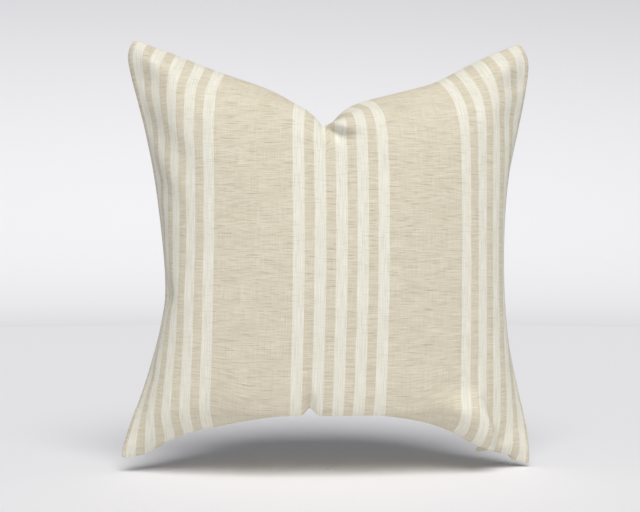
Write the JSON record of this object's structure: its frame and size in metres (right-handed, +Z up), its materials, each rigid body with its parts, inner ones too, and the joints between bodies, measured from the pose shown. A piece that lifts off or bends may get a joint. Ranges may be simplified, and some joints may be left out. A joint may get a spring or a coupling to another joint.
{
  "type": "throw pillow",
  "caption": "Square knife-edge throw pillow in vertically striped linen-look cloth, its top edge chopped into a V, with a zipped cover over a fibre-filled insert.",
  "frame": {"origin": "under the middle of the pillow, level with the two bottom corners of the cover", "axes": "+Z up, front face toward -Y, +X to the right seen from the front"},
  "size_m": [0.476, 0.228, 0.501],
  "materials": {
    "striped_cloth": "matt plain weave, beige with off-white stripes",
    "thread": "twisted polyester thread",
    "zipper_tape": "woven tape",
    "zipper_coil": "nylon monofilament",
    "zipper_enamel": "satin cream enamel",
    "insert_casing": "plain white cotton",
    "label": "smooth satin ribbon, blank",
    "fibre_fill": "loose crimped fibre"
  },
  "bodies": {
    "cover": {"cover_front_panel": "striped_cloth", "cover_back_panel": "striped_cloth", "cover_seam_thread": "thread", "zipper_tape_front": "zipper_tape", "zipper_tape_back": "zipper_tape", "zipper_coil_front": "zipper_coil", "zipper_coil_back": "zipper_coil", "zipper_top_stop": "zipper_enamel", "zipper_bottom_stop": "zipper_enamel", "insert_front_panel": "insert_casing", "insert_back_panel": "insert_casing", "insert_seam_thread": "thread", "insert_care_label": "label", "insert_fill": "fibre_fill"},
    "slider": {"zipper_slider": "zipper_enamel"},
    "pull_tab": {"zipper_pull_tab": "zipper_enamel"}
  },
  "joints": [
    {"name": "slider_travel", "type": "hinge", "parent": "cover", "child": "slider", "pos_m": [0, 0, -0.31402], "axis": [0, -1, 0], "range_deg": [0, 60.2]},
    {"name": "pull_tab_swing", "type": "hinge", "parent": "slider", "child": "pull_tab", "pos_m": [0.19565, 0, 0.02349], "axis": [0, -1, 0], "range_deg": [-38, 132]}
  ]
}
